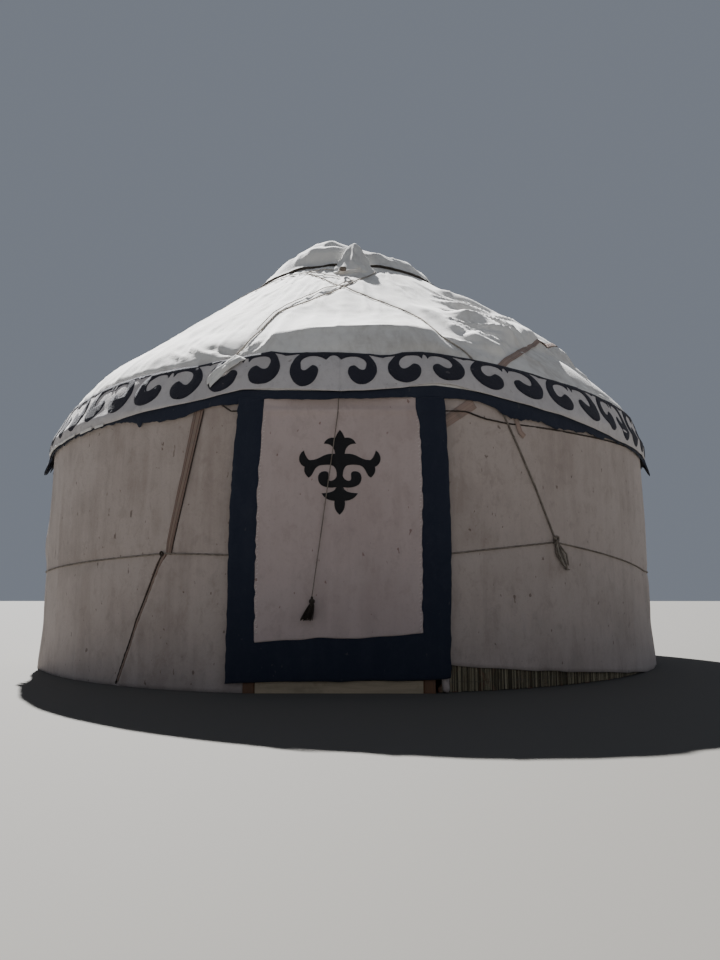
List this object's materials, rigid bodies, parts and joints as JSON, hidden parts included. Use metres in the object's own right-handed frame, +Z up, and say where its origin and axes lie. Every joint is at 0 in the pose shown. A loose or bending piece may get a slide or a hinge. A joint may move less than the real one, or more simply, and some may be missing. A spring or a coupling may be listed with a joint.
{
  "type": "yurt",
  "caption": "Round felt tent with lattice wall, bent roof poles and arched crown, an ornamented eave band and a felt door flap that lifts.",
  "frame": {"origin": "centre of the round floor, on the ground", "axes": "+Z up, the door and its flap face -Y, +X to the right seen from outside the door"},
  "size_m": [5.6534, 5.6628, 4.0971],
  "materials": {
    "frame_wood": "weathered, oiled",
    "threshold_wood": "bare, worn",
    "red_wood": "red painted, worn",
    "reeds": "dry reed",
    "wall_felt": "matte wool felt",
    "roof_canvas": "matte canvas over felt",
    "band_felt": "matte pale felt",
    "dark_felt": "matte dark felt",
    "panel_felt": "matte pale felt",
    "rope": "twisted wool rope",
    "dark_rope": "dark hair rope",
    "woven_band": "woven wool band"
  },
  "bodies": {
    "yurt": {"left_jamb": "frame_wood", "right_jamb": "frame_wood", "lintel": "frame_wood", "threshold": "threshold_wood", "lattice_front_left": "red_wood", "lattice_back_left": "red_wood", "lattice_back_right": "red_wood", "lattice_front_right": "red_wood", "roof_poles_front": "red_wood", "roof_poles_left": "red_wood", "roof_poles_back": "red_wood", "roof_poles_right": "red_wood", "crown_ring": "red_wood", "crown_slats": "red_wood", "reed_screen_left": "reeds", "reed_screen_right": "reeds", "wall_felt_front_left": "wall_felt", "wall_felt_back_left": "wall_felt", "wall_felt_back_right": "wall_felt", "wall_felt_front_right": "wall_felt", "roof_cover_front": "roof_canvas", "roof_cover_back": "roof_canvas", "crown_cover": "roof_canvas", "eave_band_left": "band_felt", "eave_band_right": "band_felt", "scrolls_left": "dark_felt", "scrolls_right": "dark_felt", "skirt_left": "dark_felt", "skirt_right": "dark_felt", "eave_rope": "rope", "wall_rope": "rope", "left_strap": "woven_band", "left_tie": "dark_rope", "right_tie": "rope", "roof_rope_long": "rope", "roof_rope_cross": "rope", "roof_rope_back": "rope", "roof_rope_back_cross": "rope", "crown_gather": "roof_canvas", "roof_strap": "woven_band", "right_strap": "woven_band"},
    "flap": {"door_flap": "dark_felt", "flap_panel": "panel_felt", "flap_ornament": "dark_felt", "tassel_cord": "rope", "tassel": "dark_felt"}
  },
  "joints": [
    {"name": "flap_lift", "type": "hinge", "parent": "yurt", "child": "flap", "pos_m": [0, -2.76074, 1.77968], "axis": [-1, 0, 0], "range_deg": [0, 80]}
  ]
}
